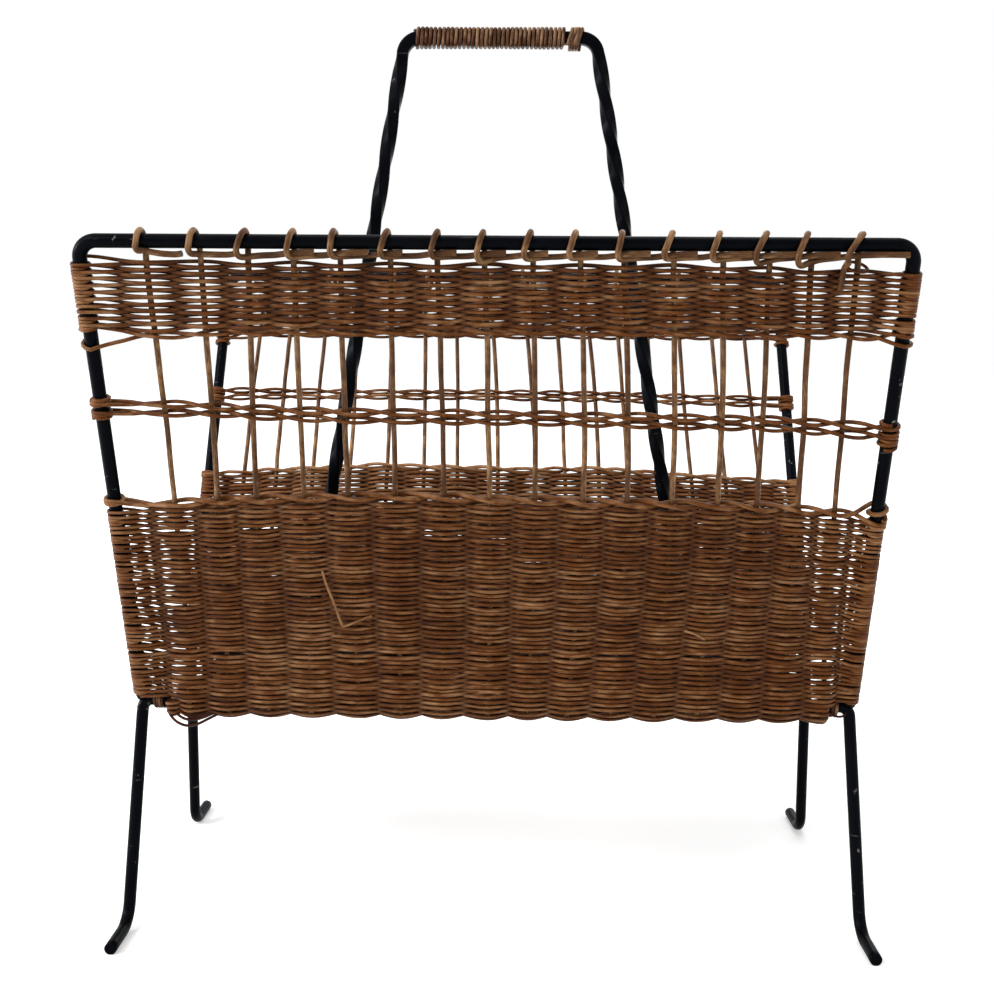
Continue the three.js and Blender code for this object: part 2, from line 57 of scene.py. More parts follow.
# Iron frame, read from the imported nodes
strut_low, strut_high = corners("left_floor_strut")
ROD = (strut_high[0] - strut_low[0]) / 2
CROSSBAR_Z = (strut_high[2] + strut_low[2]) / 2
CROSSBAR_Y = ROD - corners("front_leg_frame", above=CROSSBAR_Z)[1][1]
rod_low, rod_high = corners("front_panel_rod")
TOP_Z = rod_high[2] - ROD
TOP_Y = -rod_low[1] - ROD
TOP_X = corners("front_panel_rod", above=TOP_Z - 3 * ROD)[1][0] - ROD
CROSSBAR_X = rod_high[0] - ROD
foot_low, foot_high = corners("front_leg_frame")
FOOT_X = foot_high[0] - ROD
FOOT_END_Y = foot_low[1]
HANDLE_BOTTOM_X = -(strut_high[0] + strut_low[0]) / 2
grip_low, grip_high = corners("grip_winding")
knot_low, knot_high = corners("grip_knot")
GRIP_Z = (grip_low[2] + grip_high[2]) / 2
BAR = corners("handle_bar")[1][2] - GRIP_Z  # half the square bar's side

# The rest of the iron's shape
TOP_BEND = 10.5
LEG_BEND = 6.5
FOOT_BEND = 16
FOOT_REACH = 37  # from the leg's line out to the foot's end
FOOT_WEAR = 0.15
HANDLE_TOP_X = 64.5
BAR_BEND = 12
LEFT_QUARTER = 36.5  # length of leg in which the square bar turns a quarter
RIGHT_QUARTER = 31.5
BAR_EDGE = 1.4  # rounding of the bar's edges
GRIP_STRAIGHT = 54.5  # from the middle to where the left bend starts
GRIP_START = 1.4  # how far left of its CAD node the grip winding starts
WELD_REACH = 0.8  # from a weld bead's middle to its end, in rod radii
WELD_HEIGHT = 0.7
WELD_SINK = 0.05
ROD_SIDES = 28

# Cane. A strand's size is its radius.
STAKE = 1.65
LOOP = 1.72
WEAVER = 1.0
GRIP_STRAND = 1.15
FULL_REACH = STAKE + 2 * WEAVER  # from a sheet's middle to its face
EDGE_ROOM = 3.4  # from a twined row to the nearest woven one
HEM_ROOM = 0.4
HEM_RADIUS = ROD + 2 * WEAVER + STAKE + HEM_ROOM  # from the crossbar's axis to the stakes below it
LEAVE_LENGTH = 45.0  # the stakes leave the panel's plane this far above the crossbar
LOOP_END = 17.0  # the drop at which a loop's strand has come back to its stake
GRIP_TURNS = 35
STEPS = 8  # samples from one post to the next
WEAVER_SIDES = 8
ROW_SIDES = 10
STAKE_SIDES = 12

# How the woven rows lie, and how their strand varies
ROW_PITCH = 1.77
ROW_SPREAD = 0.14
REACH_SPREAD = 0.05
THICKNESS_SPREAD = 0.07
ROD_THICKNESS = 0.88  # where the strand goes round a side rod
HEM_THICKENING = 0.14  # from a band's first row to its last
WOVEN_DEPTH = 0.95  # the strand's section across the sheet
WOVEN_TONES = (0.3, 0.7)
LOWER_GAPS = ((269.5, 0.5), (277, 0.9))  # drops at which the front's lower rows part a little, and how far

# A woven sheet's slack, the height of its strand's section, and the share of the turns round its side rods
# that are a turn and a half instead of a half
UPPER_SHEET = (0.3, 1.18, 0.85)
LOWER_SHEETS = {"front": (0.45, 1.3, 0.5), "rear": (0.45, 1.42, 0.5)}
FLOOR_SHEET = (0.3, 1.24, 0)

# The leftmost stake's x and the distances between neighbours, spaced by hand
FRONT_TOP = (-193, (31, 27, 24.5, 26, 27.5, 25, 26, 26.5, 25.5, 23.5, 27.5, 27, 26, 22.5, 26.5))
FRONT_MIDDLE = (-194, (28.5, 24.5, 27.5, 26, 28.5, 28.5, 26.5, 27.5, 28, 25.5, 27, 27.5, 24, 24, 23))
FLOOR = (-205, (26, 27.5, 28.5, 32, 28, 27, 31.5, 26.5, 26.5, 28.5, 29.5, 28.5, 29, 26.5, 29))
REAR_MIDDLE = (-202, (25.5, 29, 28.5, 28.5, 28.5, 26.5, 30.5, 29, 24.5, 26.5, 23, 24.5, 25.5, 27, 27))
REAR_TOP = (-197, (26, 27, 26.5, 27, 26, 26.5, 27, 26, 26.5, 25.5, 26, 25.5, 26, 26.5, 27))
MIDDLE_DROP = 77.0
STAKES = 16
FLOOR_EDGE_X = -217.0  # where the floor weave turns back on the left

# Each front loop's top, front-most place and tail's end, by x from its stake, and its lowest place's drop
LOOP_TOPS = (-1.2, -2.2, -0.3, 0.8, -2.8, -1.2, 0.4, -0.7, -1.6, -3.3, -1.9, -2, -3.4, -3.5, -4, 0.3)
LOOP_FRONTS = (-2.4, -3.9, -4.1, -1.9, -4, -4.5, -2.9, -3.9, -5.2, -6.8, -4.4, -6.6, -7.7, -9.6, -9.6, -8.2)
LOOP_DROPS = (4.1, 5.9, 7.6, 7.6, 7, 7, 7, 9.3, 7.6, 7, 7.6, 7, 7.6, 9.3, 10.5, 10.5)
TAIL_ENDS = (21.6, 21, 37.8, 42.4, 35.1, 36.9, 38, 34.9, 35.2, 37.6, 39.1, 41.9, 38.8, 36.4, 51.1)

# Each row's x in the front view and drop. It isn't level where it was beaten down by hand.
FRONT_ROWS = {
    "upper_start": (
        (-224, 10.2), (-175, 12), (-92, 12.8), (120, 12.9),
        (161, 14.6), (188, 15.6), (224, 15.4),
    ),
    "upper_edge": ((-235, 52.8), (-197, 55), (-180, 55), (-157, 52.8), (3, 51.4), (116, 51.1), (235, 53.6)),
    "mid_row_1": ((-235, 97.4), (-162, 99), (-141, 101), (-91, 102.3), (3, 102.9), (156, 105), (235, 110)),
    "mid_row_2": ((-235, 103.6), (-162, 104.4), (-91, 107.5), (3, 107.9), (156, 110.4), (235, 116)),
    "lower_edge": (
        (-240, 163.5), (-212, 166.6), (-181, 164), (-94, 159.3),
        (-50, 158.8), (64, 162), (180, 164.7), (234, 170),
    ),
}
REAR_ROWS = {
    "upper_start": ((0, 11.2),),
    "upper_edge": ((0, 52.2),),
    "mid_row_1": ((-230, 101.4), (-82, 102), (0, 101.3), (81, 102.4), (163, 104.3), (234, 105.2)),
    "mid_row_2": ((-230, 107.5), (-131, 106.3), (0, 106.2), (81, 107.2), (163, 109.2), (234, 111.4)),
    "lower_edge": (
        (-238, 172.5), (-213, 172.8), (-186, 170), (-97, 164.6),
        (16, 167.4), (81, 166.2), (145, 171.2), (240, 176.3),
    ),
}
# Each twined row's strand radius, how far its strands swing above and below the row, and their tone
TWINED_ROWS = {
    "upper_edge": (1.15, 1.2, 0.4),
    "mid_row_1": (1.2, 1.25, 0.4),
    "mid_row_2": (1.2, 1.25, 0.45),
    "lower_edge": (1.4, 1.5, 0.75),
}

# How a twined row's two strands end on the left and the right side rod: how far each has dropped from the
# row there, its turns, and how far they fall. The strand that ends in front of the sheet comes first.
PLAIN_END = ((-1.2, 1.2, 2.4), (1.2, 1.1, 2.4))
ROW_ENDS = {
    ("front", "upper_edge"): (((9, 0.55, -5), (-1.2, 0.8, -2.4)), ((3.2, 0.3, 0), (-1.2, 1, -2.4))),
    ("front", "mid_row_1"): (((-1.1, 1.1, -2.4), (1.2, 0.8, -2.4)), ((-1.2, 1, -2.6), (1.2, 0.8, 2.2))),
    ("front", "mid_row_2"): (((-1.2, 1.4, 2.4), (1.2, 1.3, 2.6)), ((-1.2, 1.6, 4), (1.8, 1.6, 5.4))),
    ("front", "lower_edge"): (((-2.4, 1.2, 2.6), (1.2, 0.9, -2.4)), ((3.4, 1.4, 3.2), (-7.5, 1.4, 9))),
    ("rear", "upper_edge"): (((-1.2, 1.2, 2.4), (4.5, 1.3, 2.4)), ((1.5, 1.2, 2.4), (6.5, 1.3, 1.8))),
}

# The panel's line from the top bar to the crossbar, and how the stakes leave it to go round below
RUN = TOP_Y - CROSSBAR_Y
DROP = TOP_Z - CROSSBAR_Z
LENGTH = math.hypot(RUN, DROP)
SLOPE = math.atan2(RUN, DROP)  # how far the panel's outward normal points below the horizontal
LEAN = math.asin(HEM_RADIUS / LEAVE_LENGTH)
LEAVE = LENGTH - LEAVE_LENGTH
LEAN_END = LEAVE + LEAVE_LENGTH * math.cos(LEAN)
ARC_END = LEAN_END + HEM_RADIUS * (math.pi / 2 - SLOPE + LEAN)
FLOOR_MIDDLE = ARC_END + CROSSBAR_Y
HEM_START = LENGTH - ROD - WEAVER  # the floor weave's first row
TOP = np.array([-TOP_Y, TOP_Z])


def facing(angle):
    """The y and z of an outward normal that points below the horizontal by angle."""
    return np.stack([-np.cos(angle), -np.sin(angle)], axis=-1)


def downward(angle):
    """The y and z of the way down the sheet where its outward normal is facing(angle)."""
    return np.stack([np.sin(angle), -np.cos(angle)], axis=-1)


def stake_line(drop):
    """The stakes' line down a panel and across the floor: its points, outward normals and downward ways."""
    drop = np.asarray(drop, float)
    near = np.minimum(drop, 2 * FLOOR_MIDDLE - drop)
    lean_angle = SLOPE - LEAN
    straight = TOP + downward(SLOPE) * np.minimum(near, LEAVE)[..., None]
    leaning = downward(lean_angle) * np.clip(near - LEAVE, 0, LEAN_END - LEAVE)[..., None]
    turned = lean_angle + np.clip((near - LEAN_END) / HEM_RADIUS, 0, math.pi / 2 - lean_angle)
    arc = HEM_RADIUS * (facing(turned) - facing(lean_angle))
    across = np.maximum(near - ARC_END, 0)[..., None] * np.array([1.0, 0.0])
    point = straight + leaning + arc + across
    angle = np.where(near < LEAVE, SLOPE, turned)
    normal = facing(angle)
    down = downward(angle)
    beyond = drop > FLOOR_MIDDLE
    point[beyond, 0] *= -1
    normal[beyond, 0] *= -1
    down[beyond, 1] *= -1
    return point, normal, down


def rod_x(drop):
    """A side rod's distance from the middle."""
    return TOP_X + (CROSSBAR_X - TOP_X) * np.asarray(drop) / LENGTH


class Panel:
    """One panel. The rear one is the front one turned half round, with its own stakes and rows."""

    def __init__(self, name, turn, top, middle, rows):
        self.name = name
        self.turn = turn
        places = [first + np.concatenate([[0], np.cumsum(gaps)]) for first, gaps in (top, middle, FLOOR)]
        self.top, self.middle, self.bottom = (row[::turn] * turn for row in places)
        self.rows = {row: np.array(points, float)[::turn] * (turn, 1) for row, points in rows.items()}

    def stakes(self, drop):
        """The stakes' x, with one row for each drop."""
        share = np.clip(np.asarray(drop, float) / LENGTH, 0, 1)[..., None]
        middle = MIDDLE_DROP / LENGTH
        bow = (self.middle - self.top - (self.bottom - self.top) * middle) / (middle * (1 - middle))
        return self.top + (self.bottom - self.top) * share + bow * share * (1 - share)

    def row(self, name, x):
        """A row's drop at x. The top bar's own is nothing."""
        if name == "top_bar":
            return np.zeros_like(x, dtype=float)
        return np.interp(x, *self.rows[name].T)

    def place(self, x, drop, out, lift=1.0):
        """Points in the frame's axes, with the sheet's outward normals and downward ways there.
        lift is how far a point shares the stakes' way out round the crossbar: 0 on a side rod."""
        values = [np.asarray(value, float) for value in (x, drop, out, lift)]
        x, drop, out, lift = np.broadcast_arrays(*values)
        point, normal, down = stake_line(drop)
        lift = lift[..., None]
        point = point * lift + (TOP + downward(SLOPE) * drop[..., None]) * (1 - lift)
        normal = normal * lift + facing(SLOPE) * (1 - lift)
        down = down * lift + downward(SLOPE) * (1 - lift)
        point = point + normal * out[..., None]
        turned = [self.turn, 1]
        points = np.column_stack([x * self.turn, point * turned])
        normals = np.column_stack([np.zeros_like(x), normal * turned])
        downs = np.column_stack([np.zeros_like(x), down * turned])
        return points, normals, downs


FRONT = Panel("front", 1, FRONT_TOP, FRONT_MIDDLE, FRONT_ROWS)
REAR = Panel("rear", -1, REAR_TOP, REAR_MIDDLE, REAR_ROWS)
PANELS = (FRONT, REAR)


def unit(vectors):
    return vectors / np.linalg.norm(vectors, axis=-1, keepdims=True)


def eased(values, steps):
    """Values at posts, eased from each to the next."""
    share = (1 - np.cos(np.arange(steps) * math.pi / steps)) / 2
    between = values[:-1, None] + np.diff(values)[:, None] * share
    return np.concatenate([between.ravel(), values[-1:]])


def spread(values, steps):
    """Values at posts, even from each to the next."""
    count = len(values)
    return np.interp(np.arange((count - 1) * steps + 1) / steps, np.arange(count), values)


def smoothed(values, reach=3):
    """Values averaged with their neighbours."""
    width = 2 * reach + 1
    return np.convolve(np.pad(values, reach, mode="edge"), np.full(width, 1 / width), mode="valid")


def curve(points, spacing):
    """A smooth line through points, with samples about spacing apart."""
    points = np.asarray(points, float)
    ends = np.vstack([2 * points[0] - points[1], points, 2 * points[-1] - points[-2]])
    line = []
    for before, start, end, after in zip(ends, ends[1:], ends[2:], ends[3:]):
        count = max(2, math.ceil(np.linalg.norm(end - start) / spacing))
        t = (np.arange(count) / count)[:, None]
        line.append(
            start
            + t * (end - before) / 2
            + t**2 * (2 * before - 5 * start + 4 * end - after) / 2
            + t**3 * (3 * start - before - 3 * end + after) / 2
        )
    return np.vstack([*line, points[-1:]])


def bent(points, radii, spacing=6.0):
    """A rod's centre line, rounded at each inner corner, with samples at most spacing apart."""
    points = np.asarray(points, float)
    stops = [points[0]]
    for before, corner, after, radius in zip(points, points[1:], points[2:], radii):
        arrive, leave = unit(corner - before), unit(after - corner)
        bend = math.acos(arrive @ leave)
        start = corner - arrive * radius * math.tan(bend / 2)
        inward = unit(leave - arrive * (arrive @ leave))
        for angle in np.linspace(0, bend, math.ceil(bend * radius) + 3):
            stops.append(start + radius * (arrive * math.sin(angle) + inward * (1 - math.cos(angle))))
    stops.append(points[-1])
    runs = []
    for start, end in zip(stops, stops[1:]):
        count = math.ceil(np.linalg.norm(end - start) / spacing)
        runs.append(np.linspace(start, end, count, endpoint=False))
    return np.vstack([*runs, stops[-1]])


def ripple(reach, x_length, drop_length=None, terms=6):
    """A smooth random function of x and drop, about reach high, with waves about as long as the lengths."""
    lengths = np.array([x_length, drop_length or x_length])
    waves = rng.normal(0, 2 * math.pi, (terms, 2)) / lengths
    phases = rng.uniform(0, 2 * math.pi, terms)

    def value(x, drop):
        x, drop = np.broadcast_arrays(np.asarray(x, float), np.asarray(drop, float))
        turns = x[..., None] * waves[:, 0] + drop[..., None] * waves[:, 1] + phases
        return reach * math.sqrt(2 / terms) * np.sin(turns).sum(axis=-1)

    return value


def carried_sides(tangents):
    """Sideways directions, carried along a path without turning. No path here starts along the first one."""
    side = np.array([0.3, 0.5, 0.8])
    sides = []
    for tangent in tangents:
        side = side - tangent * side.dot(tangent)
        side = side / np.linalg.norm(side)
        sides.append(side)
    return np.array(sides)


def round_section(sides):
    turns = np.arange(sides) * 2 * math.pi / sides
    return np.column_stack([np.cos(turns), np.sin(turns)])


def square_section(steps=5):
    """The square bar's section, with its rounded edges."""
    points = []
    for quarter in range(4):
        angles = (quarter + np.arange(steps) / (steps - 1)) * math.pi / 2
        middle = (quarter + 0.5) * math.pi / 2
        centre = math.sqrt(2) * (BAR - BAR_EDGE) * np.array([math.cos(middle), math.sin(middle)])
        points.append(centre + BAR_EDGE * np.column_stack([np.cos(angles), np.sin(angles)]))
    return np.vstack(points)


class Strands:
    """Tubes that go into one mesh, with the coordinates that the cane's grain follows."""

    def __init__(self):
        self.points = []
        self.quads = []
        self.caps = []
        self.grain = []
        self.tone = []
        self.open = []
        self.count = 0

    def add(
        self, path, radius, tone=0.5, section=WEAVER_SIDES, across=None, out=None, normals=None, twist=0
    ):
        """One tube. section is its number of sides or its own points. across is a way that the path never
        runs. out and normals say how far the path stands out of its sheet, and which way that is, for the
        painted shade, with some dirt, that darkens the crevices."""
        section = round_section(section) if np.isscalar(section) else section
        tangents = unit(np.gradient(path, axis=0))
        if across is None:
            side = carried_sides(tangents)
        else:
            across = np.broadcast_to(across, path.shape)
            side = unit(across - tangents * (across * tangents).sum(axis=1, keepdims=True))
        other = np.cross(tangents, side)
        twist = np.broadcast_to(twist, len(path))[:, None]
        first = side * np.cos(twist) + other * np.sin(twist)
        second = other * np.cos(twist) - side * np.sin(twist)
        shape = (len(path), len(section))
        radius = np.broadcast_to(radius, len(path))[:, None, None]
        offsets = radius * (section[None, :, :1] * first[:, None] + section[None, :, 1:] * second[:, None])
        along = np.concatenate([[0], np.cumsum(np.linalg.norm(np.diff(path, axis=0), axis=1))])
        grain = [np.broadcast_to(value, shape) for value in (along[:, None], section[:, 0], section[:, 1])]
        # openness: how far a point lies out of its sheet, 0 in the crevices, for the painted crevice shade
        if out is None:
            openness = np.ones(shape)
        else:
            heights = np.asarray(out)[:, None] + (offsets * normals[:, None]).sum(axis=2)
            openness = np.clip(np.abs(heights) / FULL_REACH, 0, 1)
        corner = self.count + np.arange(len(path) * len(section)).reshape(shape)
        after = np.roll(corner, -1, axis=1)
        quads = np.stack([corner[:-1], after[:-1], after[1:], corner[1:]], axis=-1)
        self.points.append((path[:, None] + offsets).reshape(-1, 3))
        self.quads.append(quads.reshape(-1, 4))
        self.caps += [corner[0, ::-1], corner[-1]]
        self.grain.append(np.stack(grain, axis=-1).reshape(-1, 3))
        self.tone.append(np.broadcast_to(np.reshape(tone, (-1, 1)), shape).ravel())
        self.open.append(openness.ravel())
        self.count += corner.size

    def build(self, name, slot, replaced):
        """The piece, in its slot's material, that takes a CAD node's place."""
        points = np.concatenate(self.points)
        points[:, 2] = np.maximum(points[:, 2], 0)  # the feet are worn flat on the floor
        quads = np.concatenate(self.quads)
        loops = np.concatenate([quads.ravel(), *self.caps])
        sizes = np.array([4] * len(quads) + [len(cap) for cap in self.caps])
        smooth = np.arange(len(sizes)) < len(quads)
        mesh = bpy.data.meshes.new(name)
        mesh.vertices.add(len(points))
        mesh.vertices.foreach_set("co", (points * MM).astype(np.float32).ravel())
        mesh.loops.add(len(loops))
        mesh.loops.foreach_set("vertex_index", loops.astype(np.int32))
        mesh.polygons.add(len(sizes))
        mesh.polygons.foreach_set("loop_start", (np.cumsum(sizes) - sizes).astype(np.int32))
        mesh.polygons.foreach_set("use_smooth", smooth)
        grain = mesh.attributes.new("grain", "FLOAT_VECTOR", "POINT")
        grain.data.foreach_set("vector", np.concatenate(self.grain).astype(np.float32).ravel())
        for label, values in (("tone", self.tone), ("open", self.open)):
            attribute = mesh.attributes.new(label, "FLOAT", "POINT")
            attribute.data.foreach_set("value", np.concatenate(values).astype(np.float32))
        mesh.update(calc_edges=True)
        mesh.materials.append(materials[slot])
        piece = bpy.data.objects.new(name, mesh)
        bpy.context.scene.collection.objects.link(piece)
        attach(piece, "root")
        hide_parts(replaced)


def add_tube(name, slot, replaced, path, radius, tone=0.5, **options):
    """A piece that is one tube."""
    strands = Strands()
    strands.add(path, radius, tone, **options)
    strands.build(name, slot, replaced)


def add_weld(strands, place, way):
    """A low bead of weld metal round a rod, at its joint."""
    steps = np.linspace(-1, 1, 9)
    path = place + np.outer(steps * ROD * WELD_REACH, way)
    radius = ROD - WELD_SINK + WELD_HEIGHT * np.sqrt(1 - steps**2)
    strands.add(path, radius, section=ROD_SIDES)


def add_panel_rod(panel):
    """One rod up one side of a panel, along its top and down the other side."""
    foot = LENGTH - ROD / 2
    flat = np.array([(-rod_x(foot), foot), (-TOP_X, 0), (TOP_X, 0), (rod_x(foot), foot)])
    points = panel.place(*flat.T, 0, 0)[0]
    strands = Strands()
    strands.add(bent(points, (TOP_BEND, TOP_BEND)), ROD, section=ROD_SIDES)
    for place, beyond in ((points[0], points[1]), (points[-1], points[-2])):
        way = unit(beyond - place)
        add_weld(strands, place + way * ROD, way)
    strands.build(panel.name + "_bent_rod", "black_iron", panel.name + "_panel_rod")


def add_leg_frame(panel):
    """One rod from foot to foot. The sharp edge is filed off each cut end."""
    foot_z = ROD - FOOT_WEAR
    half = [
        (FOOT_X, FOOT_END_Y, foot_z),
        (FOOT_X, FOOT_END_Y + FOOT_REACH, foot_z),
        (CROSSBAR_X, -CROSSBAR_Y, CROSSBAR_Z),
    ]
    points = np.array([(-x, y, z) for x, y, z in half] + half[::-1]) * (panel.turn, panel.turn, 1)
    path = bent(points, (FOOT_BEND, LEG_BEND, LEG_BEND, FOOT_BEND))
    filed = 0.5
    start = path[0] + filed * unit(path[1] - path[0])
    end = path[-1] + filed * unit(path[-2] - path[-1])
    path = np.vstack([path[0], start, path[1:-1], end, path[-1]])
    radius = np.full(len(path), ROD)
    radius[[0, -1]] -= filed
    add_tube(panel.name + "_legs", "black_iron", panel.name + "_leg_frame", path, radius, section=ROD_SIDES)


def add_struts():
    for name, side in (("left", -1), ("right", 1)):
        x = side * HANDLE_BOTTOM_X
        reach = CROSSBAR_Y - ROD / 2
        path = np.linspace((x, -reach, CROSSBAR_Z), (x, reach, CROSSBAR_Z), 20)
        add_tube(name + "_strut", "black_iron", name + "_floor_strut", path, ROD, section=ROD_SIDES)


def add_handle():
    """A square bar whose legs are twisted the same way. The grip between them isn't twisted."""
    right = [(HANDLE_TOP_X, 0, GRIP_Z), (HANDLE_BOTTOM_X, 0, CROSSBAR_Z)]
    points = np.array([(-x, y, z) for x, y, z in right[::-1]] + right)
    path = bent(points, (BAR_BEND, BAR_BEND), spacing=1.5)
    turned = math.atan2(GRIP_Z - CROSSBAR_Z, HANDLE_BOTTOM_X - HANDLE_TOP_X)
    twist = np.zeros(len(path))
    for side, corner, quarter in ((-1, points[1], LEFT_QUARTER), (1, points[2], RIGHT_QUARTER)):
        distance = np.linalg.norm(path - corner, axis=1) - BAR_BEND * math.tan(turned / 2)
        leg = (path[:, 0] * side > 0) & (path[:, 2] < corner[2] - BAR_BEND / 2) & (distance > 0)
        twist[leg] = -side * distance[leg] * math.pi / 2 / quarter
    shape = {"section": square_section(), "across": (0, 1, 0), "twist": twist}
    add_tube("twisted_handle", "black_iron", "handle_bar", path, 1.0, **shape)


def round_rod(side, sign, turns, radius, drop, end_drop, samples=12):
    """A helix round a side rod, as x, drop and out. It starts in front of the rod where sign is 1, behind it
    where sign is -1, and sets off away from the sheet."""
    share = np.linspace(0, 1, max(3, round(turns * samples) + 1))
    angle = sign * (math.pi / 2 - 2 * math.pi * turns * share)
    level = drop + (end_drop - drop) * share
    return side * (rod_x(level) + radius * np.cos(angle)), level, radius * np.sin(angle)


class Band:
    """A woven sheet's rows: each post's x, and the strand's drop, reach and thickness there."""

    def __init__(self, panel, start, end, rods, sheet, gaps=()):
        self.panel = panel
        self.rods = rods
        slack, self.height, self.doubled = sheet
        first, last = (float(panel.row(name, 0.0)) + room for name, room in (start, end))
        self.count = round((last - first) / ROW_PITCH) + 1
        share = np.linspace(0, 1, self.count)[:, None]
        drop = first + (last - first) * share[:, 0]
        x = panel.stakes(drop)
        reach = (STAKE + WEAVER) * rng.normal(1, REACH_SPREAD, x.shape)
        if rods:
            edge = rod_x(drop)[:, None]
            around = np.full_like(edge, ROD + WEAVER)
            x = np.hstack([-edge, x, edge])
            reach = np.hstack([around, reach, around])
        else:
            x = np.hstack([np.full((self.count, 1), FLOOR_EDGE_X), x])
            reach = np.hstack([reach[:, :1], reach])
        level = (panel.row(start[0], x) + start[1]) * (1 - share) + (panel.row(end[0], x) + end[1]) * share
        fade = np.clip(np.minimum(share, 1 - share) * 12, 0.15, 1)  # the first and last rows wander less
        wave = ripple(slack, x_length=80)
        bunch = ripple(0.8 * slack, x_length=55, drop_length=13)
        level = level + fade * (wave(x, level) + bunch(x, level)) + rng.normal(0, ROW_SPREAD, x.shape)
        for place, room in gaps:
            beyond = level - place
            level = level + room / 2 * np.sign(beyond) * np.exp(-np.abs(beyond) / 9)
        self.x, self.level, self.reach = x, level, reach
        self.thickness = WEAVER * np.clip(rng.normal(1, THICKNESS_SPREAD, x.shape), 0.84, 1.16)
        if rods:
            self.thickness[:, [0, -1]] *= ROD_THICKNESS
            self.thickness *= 1 + HEM_THICKENING * share


def add_woven_strand(strands, band):
    """One strand woven to and fro, in front of and behind the posts by turns, and round the last one at each
    side. It leaves a side rod half a row low, after its turns."""
    x, level, reach, thickness = band.x, band.level, band.reach, band.thickness
    posts = x.shape[1]
    lag = 0.5 * ROW_PITCH if band.rods else 0
    parts = []
    tone = rng.uniform(*WOVEN_TONES)
    for row in range(band.count):
        way = 1 if row % 2 == 0 else -1
        start, end = (0, -1) if way > 0 else (-1, 0)
        if row:
            level[row, start] += lag
        signs = (-1.0) ** (np.arange(posts) + row + 1)
        lift = np.ones(posts)
        if band.rods:
            lift[[0, -1]] = 0
        line = [
            spread(x[row], STEPS),
            eased(level[row], STEPS),
            eased(signs * reach[row], STEPS),
            eased(lift, STEPS),
            eased(thickness[row], STEPS),
            np.full((posts - 1) * STEPS + 1, tone),
        ]
        parts.append(np.array(line)[:, ::way])
        if row == band.count - 1:
            break
        arrive = level[row, end]
        leave = level[row + 1, end] + lag
        if band.rods:
            turns = 1.5 if rng.random() < band.doubled else 0.5
            wrap = round_rod(way, signs[end], turns, reach[row, end], arrive, leave)
        else:
            share = np.linspace(0, 1, 7)
            angle = signs[end] * math.pi * (0.5 - share)
            wrap = [
                x[row, end] + way * reach[row, end] * np.cos(angle),
                arrive + (leave - arrive) * share,
                reach[row, end] * np.sin(angle),
            ]
        steady = [np.full(len(wrap[0]), value) for value in (lift[end], thickness[row, end], tone)]
        parts.append(np.array([*wrap, *steady])[:, 1:-1])
        if rng.random() < 0.5:
            tone = rng.uniform(*WOVEN_TONES)
    line_x, drop, out, lift, radius, tone = np.hstack(parts)
    path, normals, downs = band.panel.place(line_x, drop, out, lift)
    section = round_section(WEAVER_SIDES) * (band.height, WOVEN_DEPTH)
    strands.add(path, radius, smoothed(tone), section=section, across=downs, out=out, normals=normals)


def add_stake_ring(strands):
    """A ring of cane that ties the rightmost front loop's end to its stake."""
    turns = 1.1
    drop = 12.0
    half_width = 6.3
    half_depth = 3.4
    angle = np.linspace(0, 2 * math.pi * turns, 36)
    line = [
        FRONT.stakes(drop)[-1] - 1.2 + half_width * np.cos(angle),
        drop + 1.2 * np.cos(angle) + 1.6 * np.sin(angle),
        1.4 + half_depth * np.sin(angle),
    ]
    strands.add(FRONT.place(*line)[0], 0.9 * WEAVER, tone=0.25)


def add_broken_strands(strands):
    """Two snapped ends that stand out of the front's lower band, as x, drop and out."""
    long_end = (
        (-109, 212, 2), (-106, 223, 4.4), (-102, 236, 5.8), (-98.6, 249, 6.4),
        (-96.5, 251.4, 6.3), (-88, 248.6, 5), (-79, 246, 2.2),
    )
    short_end = ((123, 255, 2.6), (129, 256, 4.4), (133, 258.4, 4.6), (136, 261.5, 3))
    for points in (long_end, short_end):
        path = FRONT.place(*curve(points, 1.5).T)[0]
        strands.add(path, 0.85 * WEAVER, tone=0.95)


def add_bands():
    """Each panel's upper and lower band. The front's carry the ring and the snapped ends."""
    hem = ("top_bar", HEM_START - ROW_PITCH)
    for panel in PANELS:
        lower = LOWER_SHEETS[panel.name]
        gaps = LOWER_GAPS if panel is FRONT else ()
        for part, add_extra, *rows in (
            ("upper", add_stake_ring, ("upper_start", 0), ("upper_edge", -EDGE_ROOM), True, UPPER_SHEET),
            ("lower", add_broken_strands, ("lower_edge", EDGE_ROOM), hem, True, lower, gaps),
        ):
            strands = Strands()
            add_woven_strand(strands, Band(panel, *rows))
            if panel is FRONT:
                add_extra(strands)
            strands.build(f"{panel.name}_{part}_band", "woven_cane", f"{panel.name}_{part}_weave")


